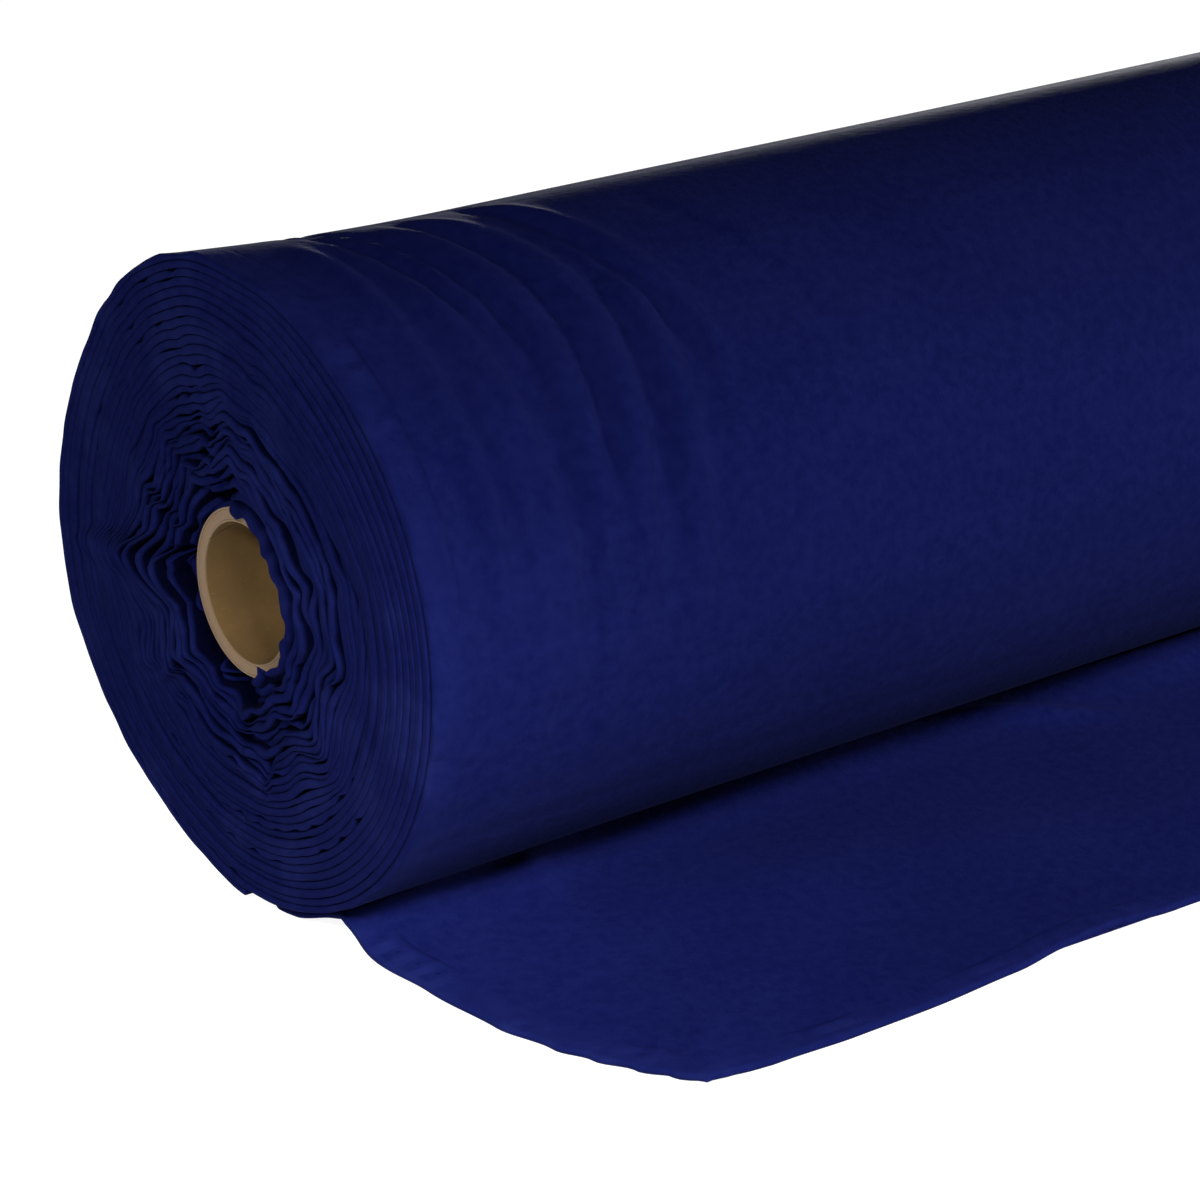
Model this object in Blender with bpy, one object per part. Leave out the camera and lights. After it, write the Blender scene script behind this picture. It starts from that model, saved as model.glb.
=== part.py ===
"""Roll of fleece cloth on a spiral-wound paper core, lying with its free end laid out in front.

The roll's axis runs along X, the free end lies towards -Y, and Z is up. The origin is on the
table, under the roll's axis, halfway along the cloth's width. All sizes are in metres.
"""

import math

import bmesh
import bpy
from mathutils import Matrix

# --- Driving dimensions -------------------------------------------------------------------

CLOTH_WIDTH = 1.500  # selvedge to selvedge
CLOTH_THICKNESS = 0.0025  # lofty fleece, under light pressure

CORE_BORE = 0.045  # inside diameter of the paper tube
LINER_THICKNESS = 0.0006  # inner paper ply
WALL_THICKNESS = 0.0027  # the plies between liner and wrap, as one
WRAP_THICKNESS = 0.0006  # outer paper ply
CORE_RECESS = 0.0035  # how far each end of the tube lies inside the cloth
PLY_LEAD = 0.160  # advance along the tube of one turn of a paper ply
PLY_SEAM = 0.0008  # slit between neighbouring edges of one ply

TAPE_THICKNESS = 0.0003
TAPE_WIDTH = 0.025  # around the tube
TAPE_LENGTH = 0.120  # along the tube
TAPE_INSET = 0.090  # from the tube's end to the outer tapes

LOOSE_TURNS = 9  # slack, crumpled turns next to the core
TIGHT_TURNS = 19  # turns wound under tension

GAP = 0.0003  # between neighbouring solids
TAIL_DRIFT = 0.006  # the laid cloth ran this far towards +X

TUCK_DEPTH = 0.006  # the laid cloth reaches this far behind the contact line
BEND_CLEARANCE = 0.012  # from the roll's front to the line where the free end bends
FREE_END_LENGTH = 0.072  # from that line to the cut edge
CORNER_ACROSS = 0.050  # rounded-off corner of the free end, along the cut edge
CORNER_ALONG = 0.066  # the same corner, along the selvedge

# --- Faceting -----------------------------------------------------------------------------

CORE_SIDES = 24
ROLL_SIDES = 48
CORNER_STEPS = 6
SHARP_ANGLE = math.radians(30)

# --- Derived sizes ------------------------------------------------------------------------

LINER_INNER = CORE_BORE / 2
WALL_INNER = LINER_INNER + LINER_THICKNESS + GAP
WRAP_INNER = WALL_INNER + WALL_THICKNESS + GAP
CORE_OUTER = WRAP_INNER + WRAP_THICKNESS
CORE_LENGTH = CLOTH_WIDTH - 2 * CORE_RECESS

TAPE_INNER = CORE_OUTER + GAP
LOOSE_INNER = TAPE_INNER + TAPE_THICKNESS + GAP
LOOSE_OUTER = LOOSE_INNER + LOOSE_TURNS * CLOTH_THICKNESS
TIGHT_INNER = LOOSE_OUTER + GAP
TIGHT_OUTER = TIGHT_INNER + TIGHT_TURNS * CLOTH_THICKNESS
LAST_INNER = TIGHT_OUTER + GAP
ROLL_RADIUS = LAST_INNER + CLOTH_THICKNESS

AXIS_HEIGHT = CLOTH_THICKNESS + GAP + ROLL_RADIUS
BEND_LINE = ROLL_RADIUS + BEND_CLEARANCE  # distance in front of the contact line
LAID_LEFT = TAIL_DRIFT - CLOTH_WIDTH / 2
LAID_RIGHT = TAIL_DRIFT + CLOTH_WIDTH / 2


# --- Materials ----------------------------------------------------------------------------


def make_material(name, colour, roughness):
    material = bpy.data.materials.new(name)
    material.use_nodes = True
    shader = material.node_tree.nodes["Principled BSDF"]
    shader.inputs["Base Color"].default_value = (*colour, 1.0)
    shader.inputs["Roughness"].default_value = roughness
    shader.inputs["Metallic"].default_value = 0.0
    return material


# --- Building blocks ----------------------------------------------------------------------


def add_object(name, bm, material, parent):
    """A finished piece. Its round faces are shaded smooth and its edges stay sharp."""
    bmesh.ops.recalc_face_normals(bm, faces=bm.faces)
    mesh = bpy.data.meshes.new(name)
    bm.to_mesh(mesh)
    bm.free()
    mesh.shade_smooth()
    mesh.set_sharp_from_angle(angle=SHARP_ANGLE)
    mesh.materials.append(material)
    obj = bpy.data.objects.new(name, mesh)
    bpy.context.scene.collection.objects.link(obj)
    obj.parent = parent
    return obj


def add_pivot(name, location):
    """An empty on a joint's axis."""
    pivot = bpy.data.objects.new(name, None)
    pivot.location = location
    bpy.context.scene.collection.objects.link(pivot)
    return pivot


def wall_section(bm, low_x, high_x, inner, outer):
    """The rectangular section of a wall round the X axis, as a loop of four edges below it."""
    corners = [(low_x, inner), (high_x, inner), (high_x, outer), (low_x, outer)]
    verts = [bm.verts.new((x, 0.0, -radius)) for x, radius in corners]
    return [bm.edges.new((verts[i - 1], verts[i])) for i in range(len(verts))]


def close_ends(bm):
    bmesh.ops.holes_fill(bm, edges=[e for e in bm.edges if e.is_boundary], sides=0)


def ring(low_x, high_x, inner, outer, sides):
    """A closed round wall about the X axis."""
    bm = bmesh.new()
    section = wall_section(bm, low_x, high_x, inner, outer)
    bmesh.ops.spin(
        bm, geom=section, cent=(0, 0, 0), axis=(1, 0, 0), angle=math.tau, steps=sides, use_merge=True
    )
    return bm


def part_ring(low_x, high_x, inner, outer, sweep, steps):
    """A wall about the X axis that covers part of a turn, starting straight below the axis."""
    bm = bmesh.new()
    section = wall_section(bm, low_x, high_x, inner, outer)
    bmesh.ops.spin(bm, geom=section, cent=(0, 0, 0), axis=(1, 0, 0), angle=sweep, steps=steps)
    return bm


def turn_about_x(bm, angle):
    bmesh.ops.rotate(bm, verts=bm.verts, cent=(0, 0, 0), matrix=Matrix.Rotation(angle, 3, "X"))


def cut_off(bm, point, normal):
    """Remove everything on the side of a plane that its normal points to."""
    geometry = [*bm.verts, *bm.edges, *bm.faces]
    bmesh.ops.bisect_plane(bm, geom=geometry, plane_co=point, plane_no=normal, clear_outer=True)


def helical_ply(length, inner, outer, handed):
    """A paper strip wound edge to edge about the X axis, cut square at both ends.

    handed is 1 or -1, the way in which the strip advances as it turns.
    """
    turns = math.ceil(length / PLY_LEAD) + 2
    start = -turns * PLY_LEAD / 2
    bm = bmesh.new()
    section = wall_section(bm, start, start + PLY_LEAD - PLY_SEAM, inner, outer)
    bmesh.ops.spin(
        bm,
        geom=section,
        cent=(0, 0, 0),
        axis=(1, 0, 0),
        dvec=(PLY_LEAD / CORE_SIDES, 0, 0),
        angle=handed * turns * math.tau,
        steps=turns * CORE_SIDES,
    )
    for side in (-1, 1):
        cut_off(bm, (side * length / 2, 0, 0), (side, 0, 0))
    close_ends(bm)
    return bm


def laid_sheet(outline):
    """Cloth lying flat on the table: an outline in X and Y, extruded to the cloth's thickness."""
    bm = bmesh.new()
    face = bm.faces.new([bm.verts.new((x, y, 0.0)) for x, y in outline])
    grown = bmesh.ops.extrude_face_region(bm, geom=[face])["geom"]
    top = [v for v in grown if isinstance(v, bmesh.types.BMVert)]
    bmesh.ops.translate(bm, verts=top, vec=(0, 0, CLOTH_THICKNESS))
    return bm


# --- The paper core and the tape on it ----------------------------------------------------


def build_core(pivot, paper):
    liner = helical_ply(CORE_LENGTH, LINER_INNER, LINER_INNER + LINER_THICKNESS, 1)
    add_object("core_liner", liner, paper, pivot)

    end = CORE_LENGTH / 2
    wall = ring(-end, end, WALL_INNER, WALL_INNER + WALL_THICKNESS, CORE_SIDES)
    add_object("core_wall", wall, paper, pivot)

    wrap = helical_ply(CORE_LENGTH, WRAP_INNER, CORE_OUTER, -1)
    add_object("core_wrap", wrap, paper, pivot)


def tape_strip(middle):
    """A strip centred below the tube. Its facets line up with the tube's, and its edges are cut."""
    low_x, high_x = middle - TAPE_LENGTH / 2, middle + TAPE_LENGTH / 2
    half_angle = TAPE_WIDTH / TAPE_INNER / 2
    facet = math.tau / CORE_SIDES
    half_steps = math.floor(half_angle / facet) + 1
    sweep = 2 * half_steps * facet
    outer = TAPE_INNER + TAPE_THICKNESS
    bm = part_ring(low_x, high_x, TAPE_INNER, outer, sweep, 2 * half_steps)
    turn_about_x(bm, -sweep / 2)
    for side in (-1, 1):
        cut_off(bm, (0, 0, 0), (0, side * math.cos(half_angle), math.sin(half_angle)))
    close_ends(bm)
    return bm


def build_tapes(pivot, tape):
    """Three strips that hold the first edge of the cloth to the tube."""
    offset = CORE_LENGTH / 2 - TAPE_INSET - TAPE_LENGTH / 2
    for place, middle in (("left", -offset), ("middle", 0.0), ("right", offset)):
        add_object(f"start_tape_{place}", tape_strip(middle), tape, pivot)


# --- The wound cloth ----------------------------------------------------------------------


def build_wound_cloth(pivot, cloth):
    side = CLOTH_WIDTH / 2
    loose = ring(-side, side, LOOSE_INNER, LOOSE_OUTER, ROLL_SIDES)
    add_object("loose_turns", loose, cloth, pivot)

    tight = ring(-side, side, TIGHT_INNER, TIGHT_OUTER, ROLL_SIDES)
    add_object("tight_turns", tight, cloth, pivot)

    # The outermost turn is open at the contact line, where the laid cloth leaves it.
    slit = 2 * GAP / LAST_INNER
    last = part_ring(-side, side, LAST_INNER, ROLL_RADIUS, math.tau - slit, ROLL_SIDES)
    turn_about_x(last, slit / 2)
    close_ends(last)
    add_object("last_turn", last, cloth, pivot)


# --- The laid cloth -----------------------------------------------------------------------


def build_laid_cloth(cloth):
    """The strip that the roll stands on, from behind the contact line to the bend line."""
    front = -BEND_LINE + GAP / 2
    outline = [
        (LAID_LEFT, front),
        (LAID_RIGHT, front),
        (LAID_RIGHT, TUCK_DEPTH),
        (LAID_LEFT, TUCK_DEPTH),
    ]
    add_object("laid_cloth", laid_sheet(outline), cloth, None)


def build_free_end(pivot, cloth):
    """The flap in front of the bend line, with the corner at its left front rounded off."""
    left, right = LAID_LEFT, LAID_RIGHT
    back, front = -GAP / 2, -FREE_END_LENGTH
    along = min(CORNER_ALONG, FREE_END_LENGTH - GAP)
    centre_x, centre_y = left + CORNER_ACROSS, front + along
    corner = []
    for step in range(CORNER_STEPS + 1):
        angle = math.pi + step * math.pi / 2 / CORNER_STEPS
        corner.append((centre_x + CORNER_ACROSS * math.cos(angle), centre_y + along * math.sin(angle)))
    outline = [(left, back), *corner, (right, front), (right, back)]
    flap = add_object("free_end", laid_sheet(outline), cloth, pivot)
    # The pivot lies on the cloth's upper face, where the fold creases.
    flap.location = (0, 0, -CLOTH_THICKNESS)


# --- Assembly -----------------------------------------------------------------------------


def clear_scene():
    for obj in list(bpy.data.objects):
        bpy.data.objects.remove(obj)


def main():
    clear_scene()
    cloth = make_material("navy_fleece", (0.0095, 0.0130, 0.0780), 0.90)
    paper = make_material("kraft_paperboard", (0.33, 0.22, 0.12), 0.80)
    tape = make_material("masking_tape", (0.66, 0.54, 0.34), 0.60)

    roll_axis = add_pivot("roll_turn_axis", (0, 0, AXIS_HEIGHT))
    build_core(roll_axis, paper)
    build_tapes(roll_axis, tape)
    build_wound_cloth(roll_axis, cloth)

    build_laid_cloth(cloth)
    bend_line = add_pivot("end_lift_line", (0, -BEND_LINE, CLOTH_THICKNESS))
    build_free_end(bend_line, cloth)


main()
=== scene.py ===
"""Fabric bolt: navy fleece wound on a paperboard tube, with its free end laid out in front."""

import math

import bmesh
import bpy
import numpy as np
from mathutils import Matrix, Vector


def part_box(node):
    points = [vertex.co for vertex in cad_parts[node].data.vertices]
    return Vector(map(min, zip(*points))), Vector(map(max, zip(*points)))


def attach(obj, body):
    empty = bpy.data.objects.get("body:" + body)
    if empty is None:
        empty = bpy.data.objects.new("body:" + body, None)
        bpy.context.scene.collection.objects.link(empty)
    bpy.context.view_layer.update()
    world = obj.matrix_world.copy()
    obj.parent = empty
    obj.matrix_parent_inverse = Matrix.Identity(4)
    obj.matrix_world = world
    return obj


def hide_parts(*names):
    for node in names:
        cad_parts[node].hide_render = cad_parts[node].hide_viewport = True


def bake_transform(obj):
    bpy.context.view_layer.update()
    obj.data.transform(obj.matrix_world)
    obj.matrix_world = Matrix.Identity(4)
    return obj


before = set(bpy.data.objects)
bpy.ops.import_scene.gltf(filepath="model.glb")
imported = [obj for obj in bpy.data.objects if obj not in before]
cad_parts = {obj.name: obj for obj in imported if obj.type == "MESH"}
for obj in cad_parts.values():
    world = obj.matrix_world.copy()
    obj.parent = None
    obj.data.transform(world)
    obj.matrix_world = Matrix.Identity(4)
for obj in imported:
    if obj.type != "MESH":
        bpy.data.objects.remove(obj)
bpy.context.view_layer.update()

bl_info = {
    "name": "Fabric bolt",
    "version": (1, 0, 0),
    "blender": (4, 5, 0),
    "location": "View3D > Sidebar > Fabric bolt",
    "description": "A bolt of fleece on a paper tube, with its winding, folds and laid end",
    "category": "Add Mesh",
}

MM = 0.001
FLEECE_NAME = "brushed_fleece"

CORE_LOW, CORE_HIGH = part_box("core_wrap")
LINER_LOW, LINER_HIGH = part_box("core_liner")
ROLL_LOW, ROLL_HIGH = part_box("last_turn")
LAID_LOW, LAID_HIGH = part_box("laid_cloth")
END_LOW, END_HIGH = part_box("free_end")

PLY = 0.6 * MM  # the liner's and the wrap's thickness
WALL_INSET = PLY + 0.02 * MM
TAPE_ROOM = 0.9 * MM

AXIS_Z = (ROLL_LOW.z + ROLL_HIGH.z) / 2
ROLL_RADIUS = (ROLL_HIGH.z - ROLL_LOW.z) / 2
CORE_RADIUS = (CORE_HIGH.z - CORE_LOW.z) / 2
BORE_RADIUS = (LINER_HIGH.z - LINER_LOW.z) / 2 - PLY
FIRST_RADIUS = CORE_RADIUS + TAPE_ROOM
CLOTH_END = ROLL_HIGH.x

# The laid end: from behind the contact line to its front edge.
LAID_REAR = 17 * MM
LAID_LENGTH = 202 * MM
LAID_FRONT = LAID_REAR - LAID_LENGTH


# --- Sizes and colours a user would change ------------------------------------------------


class BoltSizes(bpy.types.PropertyGroup):
    """How the cloth is wound and how it lies."""

    turns: bpy.props.IntProperty(
        name="Turns", description="Turns of cloth on the tube", default=29, min=6
    )
    slack_turns: bpy.props.IntProperty(
        name="Slack turns", description="Turns next to the tube that are loose", default=9, min=1
    )
    cloth: bpy.props.FloatProperty(
        name="Cloth", description="Thickness of the fleece", default=2.4 * MM, unit="LENGTH"
    )
    gap: bpy.props.FloatProperty(
        name="Gap", description="Least gap between two turns", default=0.03 * MM, unit="LENGTH"
    )
    selvedge: bpy.props.FloatProperty(
        name="Selvedge", description="Width of the band at the edge", default=10 * MM, unit="LENGTH"
    )
    ply_lead: bpy.props.FloatProperty(
        name="Ply lead", description="Advance of a paper ply per turn", default=160 * MM, unit="LENGTH"
    )
    ply_seam: bpy.props.FloatProperty(
        name="Ply seam", description="Gap where a ply meets itself", default=0.8 * MM, unit="LENGTH"
    )
    tube_sides: bpy.props.IntProperty(
        name="Tube sides", description="Flats round the paper tube", default=96, min=24
    )


class BoltColours(bpy.types.PropertyGroup):
    """The finishes' own colours, in linear light."""

    fleece: bpy.props.FloatVectorProperty(
        name="Fleece", description="Navy of the cloth's face", subtype="COLOR", size=3,
        default=(0.0027, 0.0040, 0.0325),
    )
    fleece_deep: bpy.props.FloatVectorProperty(
        name="Fleece, deep", description="Navy between the fibres", subtype="COLOR", size=3,
        default=(0.0011, 0.0020, 0.0225),
    )
    fleece_edge: bpy.props.FloatVectorProperty(
        name="Fleece, edge", description="Navy of the cut and brushed edge", subtype="COLOR", size=3,
        default=(0.0040, 0.0060, 0.0390),
    )
    kraft: bpy.props.FloatVectorProperty(
        name="Kraft", description="Brown of the tube's paper", subtype="COLOR", size=3,
        default=(0.108, 0.062, 0.019),
    )
    kraft_edge: bpy.props.FloatVectorProperty(
        name="Kraft, cut", description="Pale brown of the tube's cut end", subtype="COLOR", size=3,
        default=(0.150, 0.100, 0.060),
    )
    tape: bpy.props.FloatVectorProperty(
        name="Tape", description="Cream of the masking tape", subtype="COLOR", size=3,
        default=(0.560, 0.440, 0.250),
    )
    floor: bpy.props.FloatVectorProperty(
        name="Floor", description="The studio floor", subtype="COLOR", size=3,
        default=(0.30, 0.30, 0.30),
    )


# --- Materials ------------------------------------------------------------------------------

FIBRE_PLY = 0.45 * MM  # one layer of the tube's paper, as its cut end shows it
PIN_SPACING = 8.5 * MM


def rgba(colour):
    return (*colour, 1.0)


def scaled(colour, factor):
    return tuple(factor * c for c in colour)


class Finish:
    """A material and short ways to add the nodes that it is made of.

    A value is a node's output, a number, or a colour of three numbers.
    """

    def __init__(self, name):
        self.material = bpy.data.materials.new(name)
        self.material.use_nodes = True
        self.nodes = self.material.node_tree.nodes
        self.links = self.material.node_tree.links
        self.shader = self.nodes["Principled BSDF"].inputs

    def put(self, socket, value):
        if isinstance(value, bpy.types.NodeSocket):
            self.links.new(value, socket)
        else:
            socket.default_value = rgba(value) if socket.type == "RGBA" else value

    def where(self):
        return self.nodes.new("ShaderNodeTexCoord").outputs["Object"]

    def attribute(self, name):
        node = self.nodes.new("ShaderNodeAttribute")
        node.attribute_name = name
        return node.outputs["Vector"]

    def split(self, vector):
        node = self.nodes.new("ShaderNodeSeparateXYZ")
        self.links.new(vector, node.inputs[0])
        return node.outputs["X"], node.outputs["Y"], node.outputs["Z"]

    def stretched(self, vector, scale):
        node = self.nodes.new("ShaderNodeMapping")
        node.inputs["Scale"].default_value = scale
        self.links.new(vector, node.inputs["Vector"])
        return node.outputs["Vector"]

    def noise(self, vector, scale, detail=3.0, roughness=0.55):
        node = self.nodes.new("ShaderNodeTexNoise")
        node.inputs["Scale"].default_value = scale
        node.inputs["Detail"].default_value = detail
        node.inputs["Roughness"].default_value = roughness
        self.links.new(vector, node.inputs["Vector"])
        return node.outputs["Fac"]

    def maths(self, operation, first, second=0.0):
        node = self.nodes.new("ShaderNodeMath")
        node.operation = operation
        self.put(node.inputs[0], first)
        self.put(node.inputs[1], second)
        return node.outputs[0]

    def plus(self, first, second):
        return self.maths("ADD", first, second)

    def minus(self, first, second):
        return self.maths("SUBTRACT", first, second)

    def times(self, first, second):
        return self.maths("MULTIPLY", first, second)

    def larger(self, first, second):
        return self.maths("MAXIMUM", first, second)

    def away(self, value, middle):
        """How far a value is from a middle."""
        return self.maths("ABSOLUTE", self.minus(value, middle))

    def graded(self, value, low, high):
        """A smooth 0 to 1 as value goes from low to high."""
        node = self.nodes.new("ShaderNodeMapRange")
        node.interpolation_type = "SMOOTHSTEP"
        node.inputs["From Min"].default_value = low
        node.inputs["From Max"].default_value = high
        self.links.new(value, node.inputs["Value"])
        return node.outputs["Result"]

    def mixed(self, factor, first, second):
        """From the first colour to the second as factor goes from 0 to 1."""
        node = self.nodes.new("ShaderNodeMix")
        node.data_type = "RGBA"
        self.put(node.inputs[6], first)
        self.put(node.inputs[7], second)
        self.links.new(factor, node.inputs[0])
        return node.outputs[2]

    def complete(self, colour, relief, strength, depth, roughness, specular):
        """Give the surface its colour, its fine relief and its gloss."""
        self.put(self.shader["Base Color"], colour)
        bump = self.nodes.new("ShaderNodeBump")
        bump.inputs["Strength"].default_value = strength
        bump.inputs["Distance"].default_value = depth
        self.links.new(relief, bump.inputs["Height"])
        self.links.new(bump.outputs["Normal"], self.shader["Normal"])
        self.shader["Roughness"].default_value = roughness
        self.shader["Specular IOR Level"].default_value = specular
        return self.material


def fleece_material(name, paler):
    """Brushed polyester: short pile in clumps, a faint sheen, and a paler band at the selvedge.

    The attribute "cloth_place" holds, in metres, how far a point is from the cut edge and how
    far it is along the cloth, and then whether the face there lies against another turn, 0 to 1, where
    painted shade darkens it.
    """
    selvedge = bpy.context.scene.bolt_sizes.selvedge
    colours = bpy.context.scene.bolt_colours
    face_colour, deep_colour, edge_colour = (
        scaled(colour, paler) for colour in (colours.fleece, colours.fleece_deep, colours.fleece_edge)
    )
    cloth = Finish(name)
    where = cloth.where()
    from_edge, along, buried = cloth.split(cloth.attribute("cloth_place"))

    pile = cloth.noise(where, 900, 2.0, 0.6)
    clumps = cloth.noise(where, 260, 3.0, 0.6)
    patches = cloth.noise(where, 22, 2.0, 0.5)
    deep = cloth.plus(cloth.times(patches, 0.25), cloth.times(pile, 0.35))
    deep = cloth.plus(cloth.times(clumps, 0.8), deep)
    face = cloth.mixed(cloth.graded(deep, 0.35, 1.05), deep_colour, face_colour)

    # The brushed edge, and the selvedge band with pale dashes, a stitched line and pin marks.
    # Wear hides them in places.
    edge = cloth.graded(from_edge, 2.5 * MM, 0.2 * MM)
    band = cloth.graded(from_edge, 1.4 * selvedge, 0.6 * selvedge)
    worn = cloth.graded(cloth.noise(where, 34, 2.0, 0.5), 0.42, 0.66)
    from_pin = cloth.away(cloth.maths("FRACT", cloth.times(along, 1 / PIN_SPACING)), 0.5)
    dash = cloth.times(cloth.graded(from_pin, 0.16, 0.30), band)
    dash = cloth.times(dash, cloth.times(worn, 0.40))
    pale = cloth.larger(dash, cloth.times(band, 0.10))
    face = cloth.mixed(pale, face, scaled(edge_colour, 1.35))
    face = cloth.mixed(cloth.times(edge, cloth.times(worn, 0.6)), face, edge_colour)
    line = cloth.graded(cloth.away(from_edge, 1.22 * selvedge), 0.9 * MM, 0.2 * MM)
    pin_across = cloth.graded(cloth.away(from_edge, 0.7 * selvedge), 1.3 * MM, 0.5 * MM)
    pins = cloth.times(cloth.graded(from_pin, 0.10, 0.04), pin_across)
    marks = cloth.times(cloth.larger(cloth.times(line, 0.40), cloth.times(pins, 0.50)), worn)
    face = cloth.mixed(marks, face, scaled(colours.fleece_deep, 0.45))

    # Painted shade: where a face lies against another turn, its colour darkens away from the cut edge
    # towards a near-black navy, as little light gets in between two turns.
    depth = cloth.times(cloth.graded(from_edge, 0.5 * MM, 2.6 * MM), buried)
    face = cloth.mixed(cloth.times(depth, 0.85), face, scaled(colours.fleece_deep, 0.12))

    relief = cloth.minus(cloth.plus(cloth.times(pile, 0.35), clumps), cloth.times(marks, 0.8))
    cloth.shader["Sheen Weight"].default_value = 0.005
    cloth.shader["Sheen Roughness"].default_value = 0.45
    cloth.shader["Sheen Tint"].default_value = (0.32, 0.40, 1.0, 1.0)
    return cloth.complete(face, relief, 0.55, 0.5 * MM, roughness=0.95, specular=0.01)


def kraft_material(name):
    """Paper plies: fibre specks, a slight mottle, and pale cut ends that show the plies."""
    colours = bpy.context.scene.bolt_colours
    paper = Finish(name)
    where = paper.where()
    x, y, z = paper.split(where)

    mottle = paper.noise(where, 45, 4.0, 0.6)
    fibres = paper.noise(paper.stretched(where, (0.25, 1.0, 1.0)), 1400, 2.0, 0.7)
    brown = paper.mixed(
        paper.graded(mottle, 0.35, 0.7), scaled(colours.kraft, 0.78), colours.kraft
    )
    brown = paper.mixed(paper.graded(fibres, 0.62, 0.78), brown, scaled(colours.kraft, 1.22))

    # On the cut ends, the layers show as rings round the axis.
    height = paper.minus(z, AXIS_Z)
    radius = paper.maths("SQRT", paper.plus(paper.times(height, height), paper.times(y, y)))
    waver = paper.times(paper.noise(where, 120, 2.0), 0.35 * MM)
    layer = paper.maths("FRACT", paper.times(paper.plus(radius, waver), 1 / FIBRE_PLY))
    seam = paper.graded(layer, 0.30, 0.05)
    cut = paper.mixed(
        paper.times(seam, 0.55), colours.kraft_edge, scaled(colours.kraft_edge, 0.45)
    )
    at_end = paper.graded(
        paper.maths("ABSOLUTE", x), CORE_HIGH.x - 0.8 * MM, CORE_HIGH.x - 0.3 * MM
    )
    relief = paper.minus(
        paper.plus(fibres, mottle), paper.times(paper.times(seam, at_end), 0.8)
    )
    colour = paper.mixed(at_end, brown, cut)
    return paper.complete(colour, relief, 0.35, 0.25 * MM, roughness=0.85, specular=0.25)


def tape_material():
    """Creped masking tape: fine ridges across the strip and a slight yellowing."""
    colours = bpy.context.scene.bolt_colours
    tape = Finish("creped_tape")
    where = tape.where()
    crepe = tape.noise(tape.stretched(where, (1.0, 0.2, 0.2)), 1100, 2.0, 0.5)
    age = tape.noise(where, 60, 2.0, 0.5)
    colour = tape.mixed(
        tape.graded(tape.plus(crepe, age), 0.7, 1.3), scaled(colours.tape, 0.72), colours.tape
    )
    return tape.complete(colour, crepe, 0.5, 0.15 * MM, roughness=0.6, specular=0.35)


# --- The winding: where every turn lies -----------------------------------------------------

# Round the roll, angles are in degrees: 0 faces the laid end, 90 is the top, 270 the bottom.
# Folds in the winding: angle at 50 mm, drift in degrees per mm outwards, width in degrees,
# whether it comes to a sharp crest, and its height in mm at each radius in mm.
WINDING_FOLDS = (
    (186, 0.00, 10.0, True,
     ((27, 3.0), (34, 9.0), (44, 14.0), (54, 8.5), (64, 4.5), (80, 0.5), (92, 0.0))),
    (203, 0.00, 6.0, False, ((30, 0.0), (42, -4.5), (60, -4.0), (78, 0.0))),
    (219, -0.45, 5.0, True, ((32, 0.5), (44, 5.5), (62, 4.5), (80, 0.0))),
    (238, 0.00, 7.0, False, ((32, 0.0), (44, -2.5), (62, -2.5), (80, 0.0))),
    (150, 0.00, 22.0, False, ((28, 0.0), (40, -1.5), (54, -4.5), (66, -3.0), (84, 0.0))),
    (131, 0.35, 4.0, True, ((30, 0.0), (40, 3.0), (56, 2.6), (70, 1.0), (78, 0.0))),
    (158, -0.30, 4.0, True, ((30, 0.0), (40, 2.4), (56, 2.8), (72, 1.0), (80, 0.0))),
    (104, 0.00, 3.0, True, ((30, 0.0), (40, -3.6), (56, -4.2), (66, -2.4), (74, 0.0))),
    (92, 0.15, 4.5, True, ((30, 0.0), (42, 3.2), (58, 2.8), (70, 0.0))),
    (302, 0.00, 7.0, False, ((32, 0.0), (42, -2.2), (58, -2.4), (74, 0.0))),
    (318, 0.25, 8.0, False, ((32, 0.0), (42, 3.2), (58, 3.6), (76, 0.0))),
    (338, 0.00, 8.0, False, ((32, 0.0), (44, -2.8), (60, -2.8), (76, 0.0))),
    (356, 0.10, 8.0, False, ((30, 0.0), (42, 2.9), (58, 2.6), (74, 0.0))),
    (50, 0.00, 30.0, False, ((30, 0.0), (55, -2.0), (72, -4.0), (86, -4.0), (96, -1.2), (101, 0.0))),
    (20, 0.00, 5.0, True, ((30, 0.0), (40, 2.4), (54, 2.0), (66, 0.0))),
    (75, 0.00, 6.0, True, ((30, 0.0), (40, 2.4), (52, 2.0), (64, 0.0))),
    (270, 0.00, 9.0, False, ((28, 0.0), (36, 3.4), (48, 2.0), (60, 0.0))),
    (284, 0.00, 4.0, True, ((30, 0.0), (38, -1.0), (50, 3.0), (64, 0.0))),
)
# How far the outside of the roll is out of round: angle in degrees, height in mm.
OUT_OF_ROUND = (
    (-90, 0.0), (-75, 1.0), (-55, 2.2), (-30, 2.3), (0, 2.0), (45, 0.8), (80, 1.2), (102, 1.6),
    (125, 1.2), (150, 0.5), (180, 1.2), (192, 1.0), (215, -1.4), (240, -2.8), (255, -1.9),
    (270, 0.0),
)
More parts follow.
